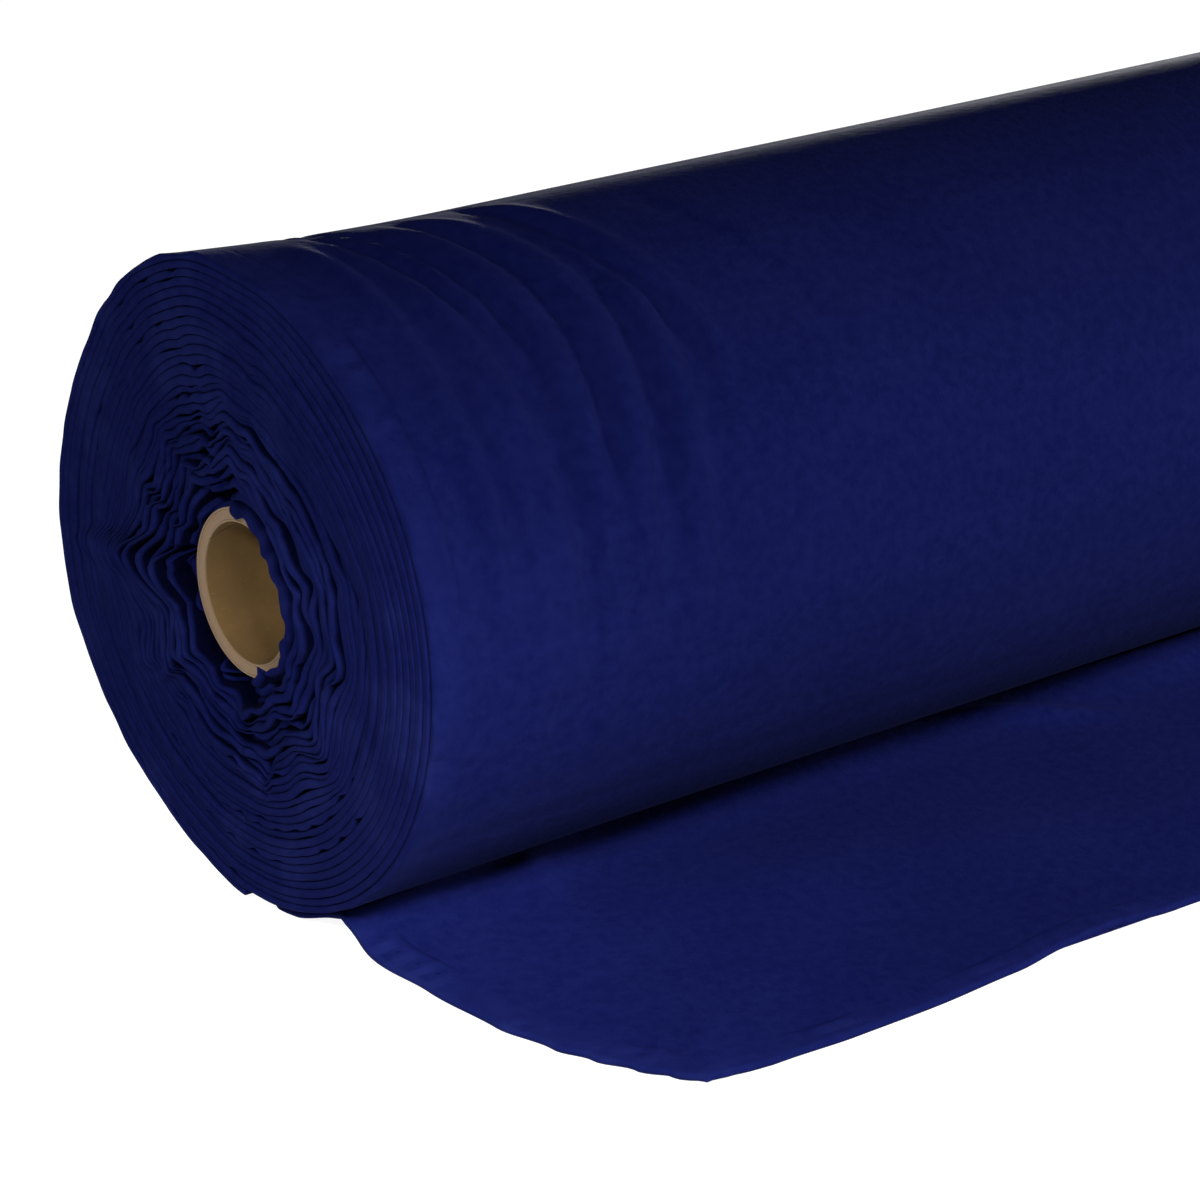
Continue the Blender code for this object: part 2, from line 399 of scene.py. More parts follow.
# Rows of small dark openings between turns: radius in mm, first and last angle, spacing in
# degrees, depth in mm.
OPENINGS = (
    (83, 103, 162, 9, 1.6), (82, 216, 322, 9, 1.7), (96, 102, 162, 10, 1.2),
    (94, 214, 272, 7, 1.4), (72, 178, 194, 7, 1.6), (72, 233, 328, 8, 1.7),
    (50, 86, 92, 9, 1.7), (67, 101, 107, 9, 1.7), (56, 106, 113, 9, 1.7),
    (56, 285, 292, 9, 1.7), (62, 108, 122, 6, 1.6), (76, 196, 240, 11, 1.5),
    (88, 120, 175, 13, 1.3),
)
TABLE_STEPS = 1440
KINKS = 64
LEAST_TURN = 0.60  # a turn keeps this share of its thickness wherever others press on it
GROOVE_DEPTH = 1.75 * MM
FLARE_REACH = 105 * MM
# How far the first turn's edge curls in over the end of the tube: angle, height in mm.
CURL = (
    (-90, 0.6), (-66, 2.6), (-59, 3.4), (-55, 6.4), (-51, 3.0), (-46, 3.4), (-38, 2.0), (-30, 3.6),
    (-20, 5.4), (-10, 3.0), (-3, 2.6), (6, 4.6), (15, 6.4), (22, 4.6), (32, 6.0), (41, 4.8),
    (50, 8.2), (60, 5.6), (70, 6.4), (79, 4.6), (92, 8.4), (102, 6.0), (111, 6.8), (119, 2.4),
    (128, 0.0), (270, 0.0),
)
CURL_REACH = 3.5 * MM
# Hollows round the tube, where the first turns draw back: middle and half width in degrees,
# depth in mm, and how many turns draw back.
HOLLOWS = (
    (127, 22, 16.0, 2.2), (164, 30, 16.0, 1.4), (193, 18, 9.0, 2.4), (262, 17, 16.0, 2.6),
    (281, 12, 9.0, 1.6), (226, 27, 18.0, 1.8), (108, 9, 12.0, 3.4), (176, 6, 12.0, 3.6),
)
# How far the roll flares close to its ends: angle in degrees, height in mm.
FLARE = (
    (-90, 0.0), (-70, 0.6), (-50, 0.4), (0, 0.0), (60, 0.5), (85, 2.4), (104, 4.8), (118, 4.4),
    (130, 2.6), (144, 0.5), (165, 0.2), (182, 1.3), (200, 1.8), (225, -0.2), (250, -0.6),
    (270, 0.0),
)


def degrees_at(turn):
    """The angle at a place along the winding, which starts at the bottom, -90."""
    return turn * 360.0 - 90.0


def once_round(degrees):
    """The same angle, between -90 and 270."""
    return (degrees + 90.0) % 360.0 - 90.0


def turned(angle, centre):
    """Signed difference between two angles, in degrees, -180 to 180."""
    return (angle - centre + 180.0) % 360.0 - 180.0


def curve_through(points, at, period=None):
    """A smooth line through (place, value) points."""
    xs, ys = np.array(points, float).T
    if period:
        xs = np.concatenate([xs - period, xs, xs + period])
        ys = np.concatenate([ys, ys, ys])
    i = np.clip(np.searchsorted(xs, at, side="right") - 1, 0, len(xs) - 2)
    t = np.clip((at - xs[i]) / np.maximum(xs[i + 1] - xs[i], 1e-9), 0, 1)
    t = t * t * (3 - 2 * t)
    return ys[i] * (1 - t) + ys[i + 1] * t


def winding_table():
    """Radius of each boundary between turns, at every angle from the bottom round to it again."""
    sizes = bpy.context.scene.bolt_sizes
    rows = sizes.turns + 3
    pitch = (ROLL_RADIUS - FIRST_RADIUS) / (sizes.turns + 1)
    angle = np.linspace(-90.0, 270.0, TABLE_STEPS + 1)
    radius = FIRST_RADIUS + pitch * np.arange(rows)
    lift = np.zeros((rows, TABLE_STEPS + 1))
    rng = np.random.default_rng(7)
    for centre, drift, width, sharp, heights in WINDING_FOLDS:
        height = np.interp(radius / MM, *np.array(heights, float).T) * MM
        height = height * (1 + 0.42 * rng.standard_normal(rows))
        middle = centre + drift * (radius / MM - 50) + 0.34 * width * rng.standard_normal(rows)
        off = np.abs(turned(angle[None, :], middle[:, None])) / width
        shape = np.exp(-(off ** 1.6)) if sharp else np.exp(-off * off)
        lift += height[:, None] * shape

    # Small kinks, each shared by a few neighbouring turns, mostly in the slack turns.
    for _ in range(KINKS):
        at = 28 + 52 * rng.random() ** 1.3
        centre, drift = 360 * rng.random() - 90, rng.normal(0, 0.5)
        reach = rng.uniform(4, 11)
        width = rng.uniform(3.0, 7.0) * 50 / at
        size = rng.uniform(0.6, 2.4) * (1.0 if at < 62 else 0.55)
        size *= 1 if rng.random() < 0.5 else -1
        across = np.exp(-(((radius / MM - at) / reach) ** 2)) * (1 + 0.45 * rng.standard_normal(rows))
        middle = centre + drift * (radius / MM - at)
        off = np.abs(turned(angle[None, :], middle[:, None])) / width
        lift += (size * MM * across)[:, None] * np.exp(-(off ** 1.7))

    outside = curve_through(OUT_OF_ROUND, angle, 360.0) * MM
    fade = np.clip((radius / MM - 72) / 24, 0, 1) ** 1.5
    lift += fade[:, None] * outside[None, :]
    table = radius[:, None] + lift

    # Cloth never passes through cloth: from the tube outwards and from the outside inwards,
    # every turn keeps at least part of its thickness.
    least = LEAST_TURN * pitch
    rim = radius[sizes.turns + 1] + outside
    for k in range(rows):
        above = k - sizes.turns - 1
        table[k] = np.minimum(table[k], rim + above * (least if above < 0 else pitch))
    table[0] = np.maximum(table[0], FIRST_RADIUS)
    for k in range(1, rows):
        table[k] = np.maximum(table[k], table[k - 1] + least)
    return table


def boundary(table, turn):
    """Radius of the boundary at a place along the winding, counted in turns from its start."""
    whole = np.clip(np.floor(turn + 1e-9).astype(int), 0, len(table) - 2)
    part = np.clip(turn - whole, 0.0, 1.0)
    column = part * TABLE_STEPS
    low = np.clip(column.astype(int), 0, TABLE_STEPS - 1)
    share = column - low
    inner = table[whole, low] * (1 - share) + table[whole, low + 1] * share
    outer = table[whole + 1, low] * (1 - share) + table[whole + 1, low + 1] * share
    return inner * (1 - part) + outer * part


def flare(degrees, inset):
    """How far the outside stands out close to an end of the roll, in metres."""
    near = np.clip(1 - inset / FLARE_REACH, 0, 1)
    return curve_through(FLARE, degrees, 360.0) * MM * near * near


def ripple(along, seed, lengths, count=5):
    """A smooth irregular line, about -1 to 1, with waves between two lengths."""
    rng = np.random.default_rng(seed)
    total = np.zeros_like(along)
    for _ in range(count):
        total += np.sin(along * math.tau / rng.uniform(*lengths) + rng.uniform(0, math.tau))
    return total / math.sqrt(count)


class Winding:
    """The spiral of cloth, sampled along its length."""

    def __init__(self):
        sizes = bpy.context.scene.bolt_sizes
        self.table = winding_table()
        self.turns = sizes.turns
        self.slack = sizes.slack_turns
        self.cloth, self.gap = sizes.cloth, sizes.gap
        self.pitch = (ROLL_RADIUS - FIRST_RADIUS) / (sizes.turns + 1)

    def length_to(self, turn):
        """Length of cloth from the start of the winding to a place along it, in turns."""
        middle = FIRST_RADIUS + self.pitch / 2
        return math.tau * (middle * turn + self.pitch * turn * turn / 2)

    def turn_at(self, length):
        """The place along the winding, in turns, that a length of cloth reaches."""
        a, b = self.pitch / 2, FIRST_RADIUS + self.pitch / 2
        return (-b + np.sqrt(b * b + 4 * a * length / math.tau)) / (2 * a)

    def surfaces(self, turn):
        """Inner and outer radius of the cloth at places along the winding."""
        inner = boundary(self.table, turn)
        outer = boundary(self.table, turn + 1) - self.gap
        along = self.length_to(turn)
        radius = (inner + outer) / 2
        slackness = np.clip((self.slack + 4.5 - turn) / 5, 0.10, 1)
        groove = np.clip(ripple(along, 11, (0.013, 0.041), 6) - 0.05, 0, None)
        weight = np.clip(0.95 + 0.9 * ripple(along, 71, (0.2, 0.5), 3), 0.15, 2.0)
        outer = outer - groove * slackness * weight * GROOVE_DEPTH
        angle = degrees_at(turn)
        for at, first, last, step, depth in OPENINGS:
            near = np.clip(1 - np.abs(radius / MM - at) / (0.55 * self.pitch / MM), 0, 1)
            near = np.clip(near * 3, 0, 1)
            place = (angle - first) % 360.0
            inside = place < (last - first)
            off = np.abs((place % step) - step / 2) * math.pi / 180 * radius / MM
            outer = outer - inside * near * np.clip(1.15 - off / 3.0, 0, 1) * depth * MM
        outer = np.maximum(outer, inner + 0.30 * self.cloth)
        outer = np.minimum(outer, inner + 1.25 * self.cloth)
        return inner, outer

    def edge(self, turn, side):
        """How far the cloth's edge stands out of the roll's end, in metres."""
        along = self.length_to(turn)
        slackness = np.clip((self.slack + 4 - turn) / 6, 0, 1)
        out = ripple(along, 23 + side, (0.35, 1.9), 6) * (0.55 + 0.5 * slackness)
        out += ripple(along, 27 + side, (0.06, 0.3), 6) * (0.30 + 1.5 * slackness)
        out += ripple(along, 31 + side, (0.015, 0.05), 5) * (0.10 + 0.45 * slackness)
        degrees = degrees_at(turn)
        bulge = np.exp(-((turned(degrees, 50.0) / 42.0) ** 2))
        out += 1.6 * np.exp(-(((turn - 21) / 4.5) ** 2)) * bulge
        # The outermost turns draw back, so that the roll's end has a soft shoulder.
        shoulder = np.clip((turn - (self.turns - 6)) / 6, 0, 1)
        front = np.clip(np.cos(np.radians(turned(degrees, 10.0))) * 1.6 + 0.2, 0, 1)
        out = np.clip(out, -4.2, 2.8) * (1 - 0.75 * shoulder)
        out = out - (3.0 * front - 1.0) * shoulder ** 1.4
        # A groove between the slack and the tight turns, and hollows beside the tube.
        groove_at = np.interp(turned(degrees, 0.0), (-40, 0, 45, 80), (17.2, 16.6, 13.6, 13.0))
        groove = np.exp(-((turned(degrees, 22.0) / 45.0) ** 2))
        out -= 2.6 * np.exp(-(((turn - groove_at) / 0.7) ** 2)) * groove
        for middle, width, depth, turns in HOLLOWS:
            near = np.clip(1 - np.abs(turned(degrees, middle)) / width, 0, 1)
            out -= depth * near * near * (3 - 2 * near) * np.clip(turns + 0.6 - turn, 0, 1)
        return out * MM

    def across(self, turn, end, inset):
        """Where a point lies along the axis, an inset in from the cloth's wavy edge."""
        out = np.where(end < 0, self.edge(turn, 0), self.edge(turn, 1))
        return end * (CLOTH_END + out - inset)


def round_axis(x, radius, angle):
    return np.stack([x, -radius * np.cos(angle), AXIS_Z + radius * np.sin(angle)], axis=1)


def in_mm(*distances):
    return [d * MM for d in distances]


def side_section(end, inner, outer, rounding):
    """Round one side of a strip: along its inner face, over its edge, along its outer face.

    A point is the end it belongs to, -1 or 1, its distance from that end, and where it lies
    through the cloth, from -1 on the inner face to 1 on the outer one.
    """
    swing = np.radians((-60, -30, 0, 30, 60))
    over = [((1 - math.cos(a)) * rounding, math.sin(a)) for a in swing]
    line = [*[(d, -1.0) for d in reversed(inner)], *over, *[(d, 1.0) for d in outer]]
    return [(end, d, face) for d, face in line]


def strip_section(inner, outer, rounding):
    """Round a whole strip whose two sides are alike."""
    left, right = (side_section(end, inner, outer, rounding) for end in (-1, 1))
    return [*left, *reversed(right)]


def strip_mesh(name, samples, section, place):
    """A closed strip of cloth: a grid rolled round its section and closed at both ends.

    place(along, end, inset, face) gives the points and what "cloth_place" holds there, with
    along from 0 to 1 over the strip's length and the others as side_section gives them.
    """
    count = len(section)
    bm = bmesh.new()
    bmesh.ops.create_grid(bm, x_segments=samples, y_segments=count, size=0.5)
    mesh = bpy.data.meshes.new(name)
    bm.to_mesh(mesh)
    bm.free()
    corner = np.empty(len(mesh.vertices) * 3)
    mesh.vertices.foreach_get("co", corner)
    corner = corner.reshape(-1, 3)
    step = np.rint((corner[:, 0] + 0.5) * samples).astype(int)
    row = np.rint((corner[:, 1] + 0.5) * count).astype(int) % count
    ends, insets, faces = (np.array(column) for column in zip(*section))
    points, cloth_place = place(step / samples, ends[row], insets[row], faces[row])
    mesh.vertices.foreach_set("co", points.astype(np.float32).ravel())
    layer = mesh.attributes.new("cloth_place", "FLOAT_VECTOR", "POINT")
    layer.data.foreach_set("vector", cloth_place.astype(np.float32).ravel())

    bm = bmesh.new()
    bm.from_mesh(mesh)
    bmesh.ops.remove_doubles(bm, verts=bm.verts, dist=1e-7)
    bmesh.ops.holes_fill(bm, edges=[e for e in bm.edges if e.is_boundary], sides=0)
    bmesh.ops.recalc_face_normals(bm, faces=bm.faces)
    for face in bm.faces:
        face.smooth = True
    bm.to_mesh(mesh)
    bm.free()
    mesh.update()
    return mesh


def new_piece(name, mesh, material):
    obj = bpy.data.objects.new(name, mesh)
    bpy.context.scene.collection.objects.link(obj)
    mesh.materials.append(material)
    return obj


def fleece():
    return bpy.data.materials.get(FLEECE_NAME) or fleece_material(FLEECE_NAME, 1.0)


def wound_strip(winding, name, first, last, spacing, inside):
    """The cloth between two places along the winding."""
    start, stop = winding.length_to(first), winding.length_to(last)
    samples = int((stop - start) / spacing)

    def place(along, end, inset, face):
        length = start + (stop - start) * along
        turn = np.clip(winding.turn_at(length), first, last)
        inner, outer = winding.surfaces(turn)
        degrees = degrees_at(turn)
        angle = np.radians(degrees)
        radius = (inner + outer) / 2 + face * (outer - inner) / 2
        # Slack turns show rounder edges than tight ones, which are squarest at the front.
        soft = np.clip((winding.slack + 5 - turn) / 6, 0, 1)
        square = np.clip(np.cos(angle - math.radians(20)) * 1.5, 0, 1) * (1 - soft)
        rounding = 0.42 + 0.78 * soft - 0.30 * square
        inset = np.where(np.abs(face) < 0.99, inset * rounding, inset)
        spread = np.clip((turn - 12 + (face + 1) / 2) / 14, 0, 1)
        radius = radius + flare(once_round(degrees), inset) * spread
        curled = np.exp(-0.75 * turn) * np.clip(1 - inset / CURL_REACH, 0, 1) ** 0.7
        radius = radius - curve_through(CURL, once_round(degrees)) * MM * curled
        points = round_axis(winding.across(turn, end, inset), radius, angle)
        # The third value is 1 on the faces that lie against other turns, which the fleece darkens as
        # painted shade.
        return points, np.stack([inset, length, face * face], axis=1)

    section = strip_section(inside, inside, 0.9 * MM)
    return strip_mesh(name, samples, section, place), stop - start


# --- The last turn and its folds ------------------------------------------------------------

# Folds across the outside near an end: depth or height in mm, width in mm, and the line it
# follows as (angle in degrees, distance from the end in mm).
OUTER_FOLDS = (
    (-1.5, 2.0, ((112, 38), (104, 43), (92, 47), (80, 50), (70, 52))),
    (0.9, 3.4, ((110, 45), (98, 50), (84, 55), (72, 57), (60, 58))),
    (-1.5, 2.0, ((104, 50), (92, 55), (78, 60), (66, 64), (52, 66))),
    (-1.2, 2.4, ((78, 52), (62, 55), (45, 57), (24, 58))),
    (1.2, 3.8, ((72, 47), (52, 49), (34, 51), (8, 50))),
    (1.0, 4.0, ((92, 31), (72, 31), (46, 30), (14, 28))),
    (-0.9, 2.4, ((90, 37), (70, 36), (46, 35), (16, 34))),
    (1.2, 4.4, ((96, 67), (80, 71), (66, 74), (44, 74), (16, 68))),
    (-1.2, 3.2, ((98, 75), (84, 79), (72, 83), (58, 84), (44, 81), (24, 74))),
    (1.8, 5.2, ((100, 80), (84, 87), (70, 93), (54, 93), (42, 90), (22, 81), (-2, 74))),
    (-1.3, 3.4, ((82, 100), (66, 104), (54, 103), (40, 99), (20, 90))),
    (-1.6, 2.8, ((98, 102), (82, 110), (66, 116), (50, 121), (38, 124))),
    (1.4, 4.4, ((94, 110), (80, 117), (64, 124), (46, 130))),
    (1.5, 4.6, ((60, 113), (36, 108), (18, 102), (0, 96))),
    (-0.7, 4.0, ((56, 121), (34, 117), (14, 110))),
    (-0.40, 4.0, ((84, 150), (68, 160), (54, 169), (38, 180))),
    (0.25, 6.0, ((78, 163), (60, 174), (42, 185))),
    (0.6, 3.0, ((48, 42), (20, 41), (-18, 40))),
    (-0.6, 3.0, ((48, 62), (24, 60), (-14, 58))),
    (0.55, 3.4, ((44, 68), (18, 66), (-20, 64))),
    (-0.5, 3.4, ((34, 20), (0, 19), (-34, 18))),
)
HIGHEST_RIDGE = 3.2 * MM
LAST_TURN_STEPS = 330


def fold_height(angle, inset, shift):
    """How far the folds lift the outside, in metres, round one end of the roll."""
    total = np.zeros_like(angle)
    # The folds stand out more low on the front.
    strength = 1.70 + 0.90 * np.clip((62 - angle) / 40, 0, 1)
    for height, width, line in OUTER_FOLDS:
        spots = np.array(sorted(line), float)
        spots[:, 0] += shift
        first, last = spots[0, 0], spots[-1, 0]
        middle = np.interp(angle, spots[:, 0], spots[:, 1])
        reach = 0.30 * (last - first)
        fade = np.clip((angle - first + 8) / reach, 0, 1)
        fade = fade * np.clip((last + 8 - angle) / (reach * 0.6), 0, 1)
        fade = fade * fade * (3 - 2 * fade)
        if height > 0:
            fade = fade * np.clip((106 - angle) / 18, 0, 1)
        off = (inset / MM - middle) / (1.15 * width)
        total += strength * height * MM * fade * np.exp(-(off ** 2))
    return total


def last_turn_mesh(winding):
    """The outermost turn: folds near both ends, nearly smooth between them."""
    first, last = winding.turns - 1.0, float(winding.turns)
    start, stop = winding.length_to(first), winding.length_to(last)
    near = (1.2, 2.2, 3.6, 5.4, 7.6, 10.0, 12.2)
    fine = in_mm(*near, *np.arange(14.5, 196, 2.6), *np.arange(200, 740, 36))
    section = strip_section(in_mm(1.2, 4, 12, 60, 300), fine, 1.1 * MM)

    def place(along, end, inset, face):
        length = start + (stop - start) * along
        turn = np.clip(winding.turn_at(length), first, last)
        inner, outer_radius = winding.surfaces(turn)
        degrees = degrees_at(turn - first)
        lift = np.where(
            end < 0, fold_height(degrees, inset, 0.0), fold_height(degrees, inset, -22.0)
        )
        # Soft waves, the finest of them only along the edge.
        wave = ripple(length + 0.7 * inset, 41, (0.05, 0.16))
        lift += 0.18 * MM * wave * np.exp(-inset / (60 * MM))
        lift += 0.12 * MM * np.sin(inset / 0.055 + 2.2 * ripple(length, 43, (0.2, 0.5), 3))
        crimp = ripple(length + end * 0.3, 47, (0.012, 0.03))
        lift += 0.45 * MM * crimp * np.exp(-inset / (5 * MM))
        radius = (inner + outer_radius) / 2 + face * (outer_radius - inner) / 2
        share = np.clip((face + 0.2) / 1.2, 0, 1)
        calm = np.clip((degrees + 90) / 25, 0, 1) * np.clip((270 - degrees) / 25, 0, 1)
        # A groove never cuts through the cloth, and a ridge never stands too proud of it.
        limit = np.where(lift < 0, 0.62 * (outer_radius - inner), HIGHEST_RIDGE)
        lift = limit * np.tanh(lift / limit)
        radius = radius + lift * share * calm + flare(degrees, inset)
        points = round_axis(winding.across(turn, end, inset), radius, np.radians(degrees))
        # The third value is 1 on the inner face, which lies against the turn below and which the
        # fleece darkens as painted shade.
        return points, np.stack([inset, length, np.clip(-face, 0, 1)], axis=1)

    mesh = strip_mesh("last_turn_cloth", LAST_TURN_STEPS, section, place)
    return mesh, stop - start


# --- The laid end -----------------------------------------------------------------------------

# In mm: the left edge's inset from the roll's end at places from back to front, and how far
# out the front edge lies at distances from the left.
LEFT_EDGE = (
    (30, 30.0), (17, 22.0), (0, 9.0), (-12, 4.5), (-21, 4.5), (-33, 8.5), (-48, 6.0),
    (-62, 4.5), (-88, 7.5), (-120, 10.0), (-142, 15.0), (-154, 20.0), (-166, 26.0),
    (-176, 31.5), (-184, 37.0),
)
FRONT_EDGE = (
    (0, -176.0), (36, -181.5), (62, -185.0), (91, -186.5), (123, -187.0), (156, -186.0),
    (180, -183.0), (198, -182.3), (225, -185.5), (270, -188.0), (330, -185.0), (400, -183.0),
    (520, -186.5), (640, -184.5), (800, -187.0), (950, -184.0), (1120, -186.5), (1300, -184.5),
    (1500, -185.5),
)
# Soft rises in the laid cloth: height, place across and towards the front, and reach both
# ways, all in mm, with the turn of its long axis in degrees.
RISES = (
    (8.0, 10, -37, 62, 19, 0), (2.4, 76, -46, 22, 9, 30), (1.3, 22, -72, 14, 30, 0),
    (8.5, 372, -37, 78, 18, 0), (3.6, 292, -52, 26, 5, -32), (1.6, 74, -56, 16, 3.4, 62),
    (8.0, 520, -36, 100, 17, 0), (8.5, 700, -37, 110, 18, 0), (8.0, 900, -36, 120, 18, 0),
    (8.5, 1120, -37, 130, 18, 0), (8.0, 1350, -36, 130, 18, 0),
    (1.8, 150, -95, 60, 34, 12), (1.5, 240, -120, 70, 26, -14), (1.3, 330, -140, 55, 30, 20),
    (1.1, 95, -140, 40, 22, 35), (1.5, 47, -167, 14, 2.6, 62), (1.2, 56, -164, 14, 2.4, 62),
    (1.0, 38, -160, 12, 2.4, 66), (1.0, 66, -168, 12, 2.4, 60), (2.0, 520, -80, 90, 26, 8),
    (2.4, 760, -110, 120, 40, -10), (1.8, 1010, -90, 100, 36, 10), (2.2, 1240, -120, 110, 40, -8),
    (1.6, 1440, -80, 50, 40, 0), (0.9, 190, -62, 30, 18, -10), (3.4, 205, -37, 70, 15, 0),
)
LAID_STEPS = 112
CLOSING_STEPS = 4
EDGE_ROUNDING = 1.2 * MM


def laid_height(across, y):
    """How far the laid cloth's underside is off the table, in metres."""
    total = np.zeros_like(across)
    for height, cx, cy, rx, ry, turn in RISES:
        c, s = math.cos(math.radians(turn)), math.sin(math.radians(turn))
        dx, dy = across / MM - cx, y / MM - cy
        u, v = (dx * c + dy * s) / rx, (dy * c - dx * s) / ry
        total += height * MM * np.exp(-(u * u + v * v))
    wander = ripple(across + 0.6 * y, 61, (0.09, 0.23), 4)
    wander = wander * ripple(y - 0.2 * across, 67, (0.07, 0.16), 4)
    total += 0.45 * MM * (1 + wander)
    return np.clip(total, 0, None)


def laid_end_mesh():
    """The free end of the cloth, from behind the contact line to its front edge."""
    sizes = bpy.context.scene.bolt_sizes
    fine = in_mm(1.2, 2.4, 4.4, 7.2, 10.0, 12.2, *np.arange(15, 420, 4.0))
    coarse = in_mm(1.2, 3.0, 8.0, *np.arange(16, 1016, 16.0))
    left = side_section(-1, fine, fine, EDGE_ROUNDING)
    right = side_section(1, coarse, coarse, EDGE_ROUNDING)
    flat_steps = LAID_STEPS - CLOSING_STEPS

    def place(along, end, inset, face):
        # The last steps close in on the front edge, which is round like the sides.
        step = along * LAID_STEPS
        flat = np.clip(step / flat_steps, 0, 1)
        close = np.clip(step - flat_steps, 0, CLOSING_STEPS) / CLOSING_STEPS * math.pi / 2
        y = LAID_REAR + (LAID_FRONT + EDGE_ROUNDING - LAID_REAR) * flat
        y = y - EDGE_ROUNDING * np.sin(close)
        thick = np.maximum(np.cos(close), 0.12)
        left_edge = -CLOTH_END + curve_through(sorted(LEFT_EDGE), y / MM) * MM
        right_edge = LAID_HIGH.x - 3.5 * MM * (0.5 + 0.5 * np.sin(y / 0.04))
        # The front right corner is rounded off.
        right_edge = right_edge - np.clip(-y / MM - 165, 0, None) ** 2 * 0.012 * MM
        x = np.where(end < 0, left_edge + inset, right_edge - inset)
        across = x + CLOTH_END
        edge_y = curve_through(FRONT_EDGE, across / MM) * MM
        y = y + (edge_y - LAID_FRONT) * np.clip(y / LAID_FRONT, 0, 1) ** 2
        # Behind the contact line the cloth climbs the back of the roll and thins out.
        under = AXIS_Z - np.sqrt(np.maximum((ROLL_RADIUS + 0.35 * MM) ** 2 - y * y, 0))
        cloth = sizes.cloth * (1 - 0.72 * np.clip(y / LAID_REAR, 0, 1))
        height = laid_height(across, y) * np.clip(-(y + 6 * MM) / (20 * MM), 0, 1)
        top = np.minimum(height + cloth, under - 0.9 * MM * np.clip(-y / (25 * MM), 0, 1))
        top = np.where(y > 0, under, top)
        bottom = np.maximum(top - cloth, 0.0)
        middle, half = (top + bottom) / 2, (top - bottom) / 2 * thick
        middle = middle - (1 - thick) * (top - bottom) * 0.22
        points = np.stack([x, y, middle + face * half], axis=1)
        from_edge = np.minimum(inset, np.abs(y - edge_y) + 3 * MM)
        return points, np.stack([from_edge, sizes.turns - y, np.zeros_like(y)], axis=1)

    return strip_mesh("laid_end_cloth", LAID_STEPS, [*left, *reversed(right)], place)


# --- The paper core ---------------------------------------------------------------------------


def ply_section(bm, low, high, inner, outer):
    """The section of a ply below the axis: its four corners and the edges between them."""
    corners = [(low, inner), (high, inner), (high, outer), (low, outer)]
    verts = [bm.verts.new((x, 0.0, AXIS_Z - r)) for x, r in corners]
    edges = [bm.edges.new((verts[i - 1], verts[i])) for i in range(4)]
    return verts, edges


def finished(bm, name):
    """The mesh of a paper piece, smooth round the tube and sharp at its cut edges."""
    bmesh.ops.recalc_face_normals(bm, faces=bm.faces)
    mesh = bpy.data.meshes.new(name)
    for face in bm.faces:
        face.smooth = True
    bm.to_mesh(mesh)
    bm.free()
    mesh.set_sharp_from_angle(angle=math.radians(32))
    return mesh


def round_wall(name, low, high, inner, outer, rounding):
    """A plain tube with slightly rounded rims."""
    sizes = bpy.context.scene.bolt_sizes
    bm = bmesh.new()
    verts, _ = ply_section(bm, low, high, inner, outer)
    bmesh.ops.bevel(
        bm, geom=verts, offset=rounding, segments=2, profile=0.5, affect="VERTICES", material=-1
    )
    bmesh.ops.spin(
        bm, geom=bm.edges[:], cent=(0, 0, AXIS_Z), axis=(1, 0, 0), angle=math.tau,
        steps=sizes.tube_sides, use_merge=True,
    )
    return finished(bm, name)


def wound_ply(name, inner, outer, hand):
    """A paper strip wound edge to edge round the tube, cut square at both ends."""
    sizes = bpy.context.scene.bolt_sizes
    length = CORE_HIGH.x - CORE_LOW.x
    turns = math.ceil(length / sizes.ply_lead) + 2
    low = -turns * sizes.ply_lead / 2
    bm = bmesh.new()
    _, edges = ply_section(bm, low, low + sizes.ply_lead - sizes.ply_seam, inner, outer)
    bmesh.ops.spin(
        bm, geom=edges, cent=(0, 0, AXIS_Z), axis=(1, 0, 0),
        dvec=(sizes.ply_lead / sizes.tube_sides, 0, 0), angle=hand * turns * math.tau,
        steps=turns * sizes.tube_sides,
    )
    for side in (-1, 1):
        bmesh.ops.bisect_plane(
            bm, geom=[*bm.verts, *bm.edges, *bm.faces], plane_co=(side * length / 2, 0, 0),
            plane_no=(side, 0, 0), clear_outer=True,
        )
    bmesh.ops.holes_fill(bm, edges=[e for e in bm.edges if e.is_boundary], sides=0)
    return finished(bm, name)


# --- Operators --------------------------------------------------------------------------------


class BoltCore(bpy.types.Operator):
    """Make the paper tube's three plies and give the tape its finish"""

    bl_idname = "fabric_bolt.core"
    bl_label = "Paper core"

    def execute(self, context):
        brown = kraft_material("kraft_plies")
        liner = wound_ply("core_liner_ply", BORE_RADIUS, BORE_RADIUS + PLY, 1)
        wall = round_wall(
            "core_wall_tube", CORE_LOW.x, CORE_HIGH.x, BORE_RADIUS + WALL_INSET,
            CORE_RADIUS - WALL_INSET, 0.25 * MM,
        )
        wrap = wound_ply("core_wrap_ply", CORE_RADIUS - PLY, CORE_RADIUS, -1)
        for mesh, node in ((liner, "core_liner"), (wall, "core_wall"), (wrap, "core_wrap")):
            piece = new_piece(mesh.name, mesh, brown)
            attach(piece, "roll")
            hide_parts(node)
        tape = tape_material()
        for place in ("left", "middle", "right"):
            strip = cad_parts[f"start_tape_{place}"]
            strip.data.materials.clear()
            strip.data.materials.append(tape)
        return {"FINISHED"}


